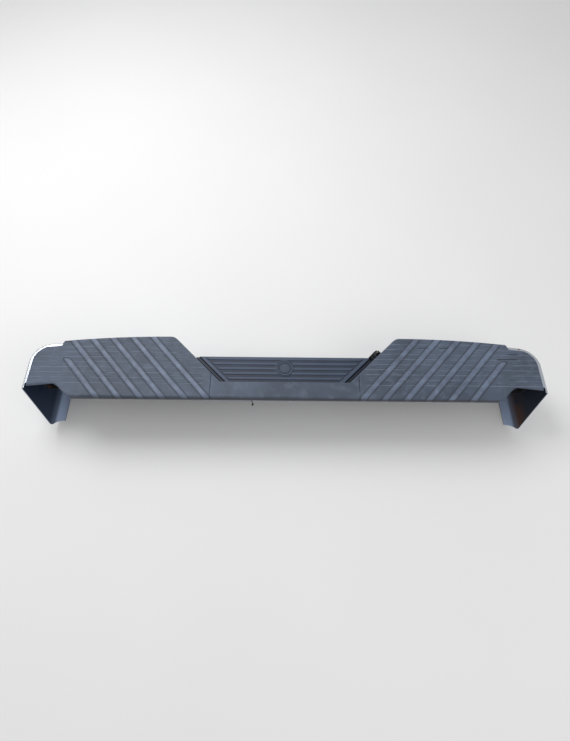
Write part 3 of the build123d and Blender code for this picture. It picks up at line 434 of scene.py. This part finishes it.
def plating():
    made = Finish("plating")
    normal = made.normalParts()
    bright = platedFaces(made, normal)
    spots = made.place.noise(60.0, 5.0, 0.7)
    broad = made.place.noise(9.0, 3.0)
    pits = made.place.noise(420.0, 3.0, 0.6)
    patches = made.place.noise(22.0, 4.0, 0.6)
    cloudy = made.place.noise(5.0, 4.0)
    corner = abs(made.x).above(barZones["cornerX"], 0.03) * made.z.above(barZones["cornerZ"], 0.03)
    corner = corner * made.y.above(0.0, 0.03)
    rust = (spots + corner * 0.10 + broad * 0.12).above(0.72, 0.04) * bright
    onRight = made.x.above(barZones["rightFrom"], 0.2)
    # the upward-facing bottom flange inside the bar gets a painted highlight, tinted blue as a painted reflection
    flange = normal[2].above(0.10, 0.5) * made.z.below(barZones["flangeTop"], 0.03)
    # inside the bar: painted shade, tinted blue as a painted reflection
    inside = cloudy.above(0.35, 0.35).mix(platingShades["insideShadeDark"], platingShades["insideShadePale"])
    # deeper painted shade inside the right end
    inside = (onRight * 0.7).mix(inside, platingShades["rightInsideShade"])
    rustLevel = (spots * 0.5 + broad * 0.5 - normal[2] * 0.25).above(0.33, 0.10)
    rustBand = rustLevel * onRight * made.z.below(barZones["rustTop"], 0.03) * (1 - flange * 0.9)
    inside = (rustBand * 0.9).mix(inside, platingShades["rustBand"])
    # painted highlight on the upward-facing bottom flange
    inside = (flange * (0.75 + cloudy * 0.5)).mix(inside, platingShades["flange"])
    edgeRust = (patches + spots * 0.3).above(0.86, 0.05) * (1 - bright)
    inside = (edgeRust * 0.6).mix(inside, platingShades["edgeRust"])
    colour = bright.mix(inside, platingShades["bright"])
    made.set("Base Color", rust.mix(colour, platingShades["rust"]))
    made.set("Metallic", bright * (1 - rust) * 0.82 + (1 - bright) * 0.15)
    made.set("Roughness", bright * 0.17 + (1 - bright) * 0.50 + rust * 0.6 + broad * 0.06)
    made.bump(pits.above(0.62, 0.05) * -0.4 + rust * spots * 1.2, 0.0006, 0.6)
    return made.material


# black paint over steel, flaking to rust
def paintedSteel():
    made = Finish("paintedSteel")
    spots = made.place.noise(38.0, 5.0, 0.68)
    broad = made.place.noise(6.0, 3.0)
    fine = made.place.noise(500.0, 2.0)
    flake = made.place.noise(120.0, 4.0)
    rust = (spots + broad * 0.35).above(0.72, 0.08)
    rusty = flake.above(0.4, 0.3).mix(rgb(0.060, 0.024, 0.012), rgb(0.160, 0.070, 0.034))
    made.set("Base Color", rust.mix(rgb(0.022, 0.024, 0.028), rusty))
    made.set("Roughness", 0.42 + rust * 0.42)
    made.bump(rust * flake * 0.8 + fine * 0.12, 0.0008, 0.8)
    return made.material


def zincSteel():
    made = Finish("zincSteel")
    spots = made.place.noise(160.0, 5.0, 0.7)
    broad = made.place.noise(24.0, 3.0)
    rust = (spots + broad * 0.3).above(0.70, 0.06)
    zinc = broad.above(0.35, 0.4).mix(rgb(0.40, 0.40, 0.38), rgb(0.58, 0.58, 0.56))
    made.set("Base Color", rust.mix(zinc, rgb(0.190, 0.075, 0.030)))
    made.set("Metallic", 0.9 - rust * 0.8)
    made.set("Roughness", 0.33 + rust * 0.5 + spots * 0.1)
    made.bump(spots, 0.0003, 0.5)
    return made.material


def chromeBolt():
    made = Finish("chromeBolt")
    rust = made.place.noise(240.0, 5.0, 0.7).above(0.68, 0.04)
    made.set("Base Color", rust.mix(rgb(0.84, 0.86, 0.88), rgb(0.22, 0.09, 0.04)))
    made.set("Metallic", 1 - rust * 0.9)
    made.set("Roughness", 0.10 + rust * 0.6)
    return made.material


# plain dark mouldings, from their base colour to a worn one
def mouldedDark(name, base, worn, roughness):
    made = Finish(name)
    cloudy = made.place.noise(40.0, 4.0)
    grain = made.place.noise(1400.0, 2.0)
    made.set("Base Color", cloudy.above(0.42, 0.3).mix(base, worn))
    made.set("Roughness", roughness - 0.08 + cloudy * 0.2)
    made.bump(grain, 0.0003, 0.5)
    return made.material


# clear plastic with upright flutes
def clearLens():
    made = Finish("clearLens", IOR=1.49, Alpha=0.45)
    flutePitch = 0.003
    cloudy = made.place.noise(60.0, 3.0)
    made.set("Base Color", cloudy.mix(rgb(0.80, 0.82, 0.82), rgb(0.92, 0.93, 0.93)))
    made.set("Roughness", 0.06 + cloudy * 0.12)
    made.bump(abs((made.x / flutePitch).fract() - 0.5), 0.0006, 0.6)
    return made.material


def brassContact():
    made = Finish("brassContact", Metallic=1.0)
    spots = made.place.noise(300.0, 4.0)
    made.set("Base Color", spots.above(0.5, 0.2).mix(rgb(0.70, 0.50, 0.20), rgb(0.32, 0.20, 0.08)))
    made.set("Roughness", 0.25 + spots * 0.25)
    return made.material


finishes = {"tread": treadPlastic(), "step": stepPlastic(), "plating": plating(), "painted": paintedSteel(),
            "zinc": zincSteel(), "chromeBolt": chromeBolt(), "lens": clearLens(), "brass": brassContact(),
            "black": mouldedDark("mouldedBlack", rgb(0.016, 0.017, 0.020), rgb(0.040, 0.042, 0.048), 0.5),
            "rubber": mouldedDark("rubberBlack", rgb(0.014, 0.014, 0.015), rgb(0.034, 0.033, 0.032), 0.7),
            "wire": mouldedDark("wireBrown", rgb(0.055, 0.040, 0.030), rgb(0.120, 0.100, 0.080), 0.7)}
finishOfSlot = {"chrome": "plating", "painted_steel": "painted", "zinc_steel": "zinc", "black_plastic": "black",
                "black_rubber": "rubber", "clear_lens": "lens", "brass": "brass", "tread_plastic": "tread",
                "step_plastic": "step"}
slotOfNode = {entry["node"]: entry["material_slot"] for entry in frame["record"]["subparts"]}
for name, node in nodes.items():
    finish = "chromeBolt" if name in ("face_bolts", "wing_bolts") else finishOfSlot[slotOfNode[name]]
    node.data.materials.clear()
    node.data.materials.append(finishes[finish])
print("finishes made:", len(finishes))


# upper tread pads: one each side, and a middle one in front of the notch
def sidePad(side, name, node):
    start = tread["seam"] + tread["seamGap"]
    end = tread["cornerX"] + tread["cornerRadius"]
    rows = rowShares(treadGrid["rows"], treadGrid["crowd"])
    bm = padSheet(sideColumns(start), rows, frontEdge, rearEdge, treadHeight(start, end), tread["under"])
    addLip(bm, start, tread["setBackStart"] + lip["pastSetBack"])
    if side < 0:
        bmesh.ops.scale(bm, vec=(-1, 1, 1), verts=bm.verts)
        bmesh.ops.reverse_faces(bm, faces=bm.faces)
    smoothFaces(bm, 50)
    newObject(name, bm, finishes["tread"], node)


def middlePad():
    end = tread["seam"] - 2 * tread["seamGap"]
    start = -end
    count = treadGrid["middleColumns"]
    columns = [start + (end - start) * n / count for n in range(count + 1)]
    rows = rowShares(treadGrid["middleRows"], treadGrid["crowd"])
    bm = padSheet(columns, rows, frontEdge, rearEdge, treadHeight(start, end), tread["under"])
    addLip(bm, start, end)
    smoothFaces(bm, 50)
    newObject("treadPadMiddle", bm, finishes["tread"], "centre_pad")


sidePad(-1, "treadPadLeft", "upper_pad_left")
sidePad(1, "treadPadRight", "upper_pad_right")
middlePad()
print("upper pads made")

# lower step: ridges across a sunk field, a plain border, and the seat of the round cover
step = {"frontHalf": 0.1993, "front": -0.0135, "rear": 0.106, "reach": 0.3162, "top": 0.100, "under": 0.0912,
        "sunk": 0.0018, "border": 0.026, "firstRidge": 0.0225, "pitch": 0.019, "ridgeHalf": 0.0052,
        "rim": 0.0115, "rimSoft": 0.003, "rimDrop": 0.0055, "edgeRound": 0.0022, "inset": 0.0004}
stepFades = {"field": (0.86, 0.92), "ridgeEnd": (0.98, 1.1), "ridge": (0.55, 1.25), "rear": (0.006, 0.0085),
             "rimFront": 1.6}
seat = {"y": 0.062, "radius": 0.0286, "ring": 0.0033, "ringFlat": 0.6, "depth": 0.0034, "clear": 0.0006}
stepGrid = {"columns": 300, "rows": 110, "crowd": 0.2}


def stepHalf(y):
    return step["frontHalf"] + (y - step["front"]) * tread["notchSlope"]


def stepFront(x):
    return max(step["front"], step["front"] + (abs(x) - step["frontHalf"]) / tread["notchSlope"])


def stepRear(x):
    return step["rear"]


# smoothStep between two shares of a length
def fadeOver(shares, length, value):
    return smoothStep(length * shares[0], length * shares[1], value)


def stepHeight(x, y, front, rear):
    side = (stepHalf(y) - abs(x)) * ribTilt
    inField = fadeOver(stepFades["field"], step["border"], side) * smoothStep(*stepFades["rear"], rear - y)
    phase = (y - step["firstRidge"]) / step["pitch"]
    offRidge = abs(phase - round(phase)) * step["pitch"]
    ridge = 1 - fadeOver(stepFades["ridge"], step["ridgeHalf"], offRidge)
    ridge *= fadeOver(stepFades["ridgeEnd"], step["border"], side)
    height = step["top"] - step["sunk"] * inField * (1 - ridge)
    away = math.hypot(x, y - seat["y"])
    if away < seat["radius"] + seat["ring"] + 0.002:
        offRing = abs(away - seat["radius"] - 0.001)
        ring = 1 - smoothStep(seat["ring"] * seat["ringFlat"], seat["ring"] + 0.001, offRing)
        height = max(height, step["top"] - step["sunk"] * (1 - ring))
        if away < seat["radius"] + seat["clear"]:
            height = step["top"] - seat["depth"]
    rim = min(side, (y - step["front"]) * stepFades["rimFront"])
    height -= step["rimDrop"] * (1 - smoothStep(step["rim"] - step["rimSoft"], step["rim"], rim))
    height -= rolled(min(rear - y, side) + step["inset"], step["edgeRound"])
    return height


def lowerStepPad():
    count = stepGrid["columns"]
    columns = [-step["reach"] + 2 * step["reach"] * n / count for n in range(count + 1)]
    rows = rowShares(stepGrid["rows"], stepGrid["crowd"])
    bm = padSheet(columns, rows, stepFront, stepRear, stepHeight, step["under"])
    smoothFaces(bm, 45)
    newObject("lowerStepPad", bm, finishes["step"], "lower_step_pad")


lowerStepPad()
print("lower step made")

# round cover over the ball hole: radius and height of its half section, from the middle of its top
cover = {"steps": 72,
         "section": [(0.0, 0.0996), (0.0140, 0.0995), (0.0190, 0.0993), (0.0202, 0.0982), (0.0222, 0.0982),
                     (0.0234, 0.0996), (0.0274, 0.0998), (0.0283, 0.0990), (0.0284, 0.0972), (0.0224, 0.0972),
                     (0.0224, 0.0912), (0.0206, 0.0912), (0.0206, 0.0970), (0.0, 0.0970)]}


def ballHoleCover():
    bm = bmesh.new()
    verts = [bm.verts.new((radius, 0, height)) for radius, height in cover["section"]]
    edges = [bm.edges.new(pair) for pair in zip(verts, verts[1:])]
    bmesh.ops.spin(bm, geom=verts + edges, cent=(0, 0, 0), axis=(0, 0, 1), angle=2 * math.pi,
                   steps=cover["steps"], use_merge=True)
    bmesh.ops.remove_doubles(bm, verts=bm.verts, dist=1e-6)
    bmesh.ops.recalc_face_normals(bm, faces=bm.faces)
    bmesh.ops.translate(bm, vec=(0, seat["y"], 0), verts=bm.verts)
    smoothFaces(bm, 30)
    newObject("ballHoleCover", bm, finishes["step"], "ball_hole_cover",
              body="ball_hole_cover")


ballHoleCover()
print("cover made")

# loose wire end under the middle pad
wirePoints = [(-0.092, -0.067, 0.168), (-0.101, -0.0676, 0.1678), (-0.1085, -0.071, 0.1615),
              (-0.112, -0.076, 0.151), (-0.110, -0.080, 0.140), (-0.106, -0.082, 0.127), (-0.107, -0.0805, 0.114)]
wireThickness = 0.0032
curve = bpy.data.curves.new("looseWire", "CURVE")
curve.dimensions = "3D"
curve.bevel_depth = wireThickness / 2
curve.bevel_resolution = 5
curve.resolution_u = 10
curve.use_fill_caps = True
spline = curve.splines.new("NURBS")
spline.points.add(len(wirePoints) - 1)
for point, place in zip(spline.points, wirePoints):
    point.co = (*place, 1)
spline.order_u = 3
spline.use_endpoint_u = True
curve.materials.append(finishes["wire"])
looseWire = bpy.data.objects.new("looseWire", curve)
bpy.context.scene.collection.objects.link(looseWire)
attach(looseWire, "bumper")
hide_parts("pigtail_wire")
print("wire made")

# camera: lens and sensor in millimetres, angles in degrees
view = {"target": (0.0, 0.002, 0.200), "distance": 1.542, "elevation": 63.0, "roll": 0.55, "lens": 22.98,
        "sensor": 36.0}
scene = bpy.context.scene


def placeCamera():
    data = bpy.data.cameras.new("camera")
    data.sensor_fit = "AUTO"
    data.sensor_width = view["sensor"]
    data.lens = view["lens"]
    camera = bpy.data.objects.new("camera", data)
    scene.collection.objects.link(camera)
    rise = math.radians(view["elevation"])
    look = Vector((0, -math.cos(rise), math.sin(rise)))
    turn = look.to_track_quat("Z", "Y").to_matrix().to_4x4()
    place = Matrix.Translation(Vector(view["target"]) + look * view["distance"])
    camera.matrix_world = place @ turn @ Matrix.Rotation(math.radians(view["roll"]), 4, "Z")
    scene.camera = camera


# round lamps, all aimed at the bar's middle
lamps = {"skyLamp": {"energy": 50, "place": (-1.3, 1.5, 2.6), "size": 1.8},
         "fillLamp": {"energy": 12, "place": (1.6, -1.6, 2.2), "size": 2.0}}
lampTarget = Vector((0, 0, 0.1))


def hangLamp(name, settings):
    data = bpy.data.lights.new(name, "AREA")
    data.energy = settings["energy"]
    data.shape = "DISK"
    data.size = settings["size"]
    made = bpy.data.objects.new(name, data)
    place = Vector(settings["place"])
    aim = (place - lampTarget).to_track_quat("Z", "Y").to_matrix().to_4x4()
    made.matrix_world = Matrix.Translation(place) @ aim
    scene.collection.objects.link(made)


# backdrop: white where it is seen, softer where it lights the bar
backdropLevel = 0.60


def hangBackdrop():
    world = bpy.data.worlds.new("world")
    scene.world = world
    world.use_nodes = True
    tree = world.node_tree
    rays = tree.nodes.new("ShaderNodeLightPath")
    seen = Wire(tree, rays.outputs["Is Camera Ray"])
    through = Wire(tree, rays.outputs["Is Transmission Ray"])
    colour = seen.larger(through).mix(rgb(backdropLevel, backdropLevel, backdropLevel), rgb(1, 1, 1))
    tree.links.new(colour.socket, tree.nodes["Background"].inputs["Color"])
    tree.nodes["Background"].inputs["Strength"].default_value = 1.0


floorSize = {"radius": 9.0, "segments": 64}


def layFloor():
    finish = Finish("floorPale", Roughness=0.9)
    mottle = finish.place.noise(1.5, 2.0)
    finish.set("Base Color", mottle.mix(rgb(0.80, 0.80, 0.80), rgb(0.84, 0.84, 0.84)))
    bm = bmesh.new()
    bmesh.ops.create_circle(bm, cap_ends=True, radius=floorSize["radius"], segments=floorSize["segments"])
    mesh = bpy.data.meshes.new("floor")
    bm.to_mesh(mesh)
    bm.free()
    mesh.materials.append(finish.material)
    floor = bpy.data.objects.new("floor", mesh)
    scene.collection.objects.link(floor)


placeCamera()
for name, settings in lamps.items():
    hangLamp(name, settings)
hangBackdrop()
layFloor()
scene.view_settings.view_transform = "Standard"
print("camera, lamps, backdrop and floor set")
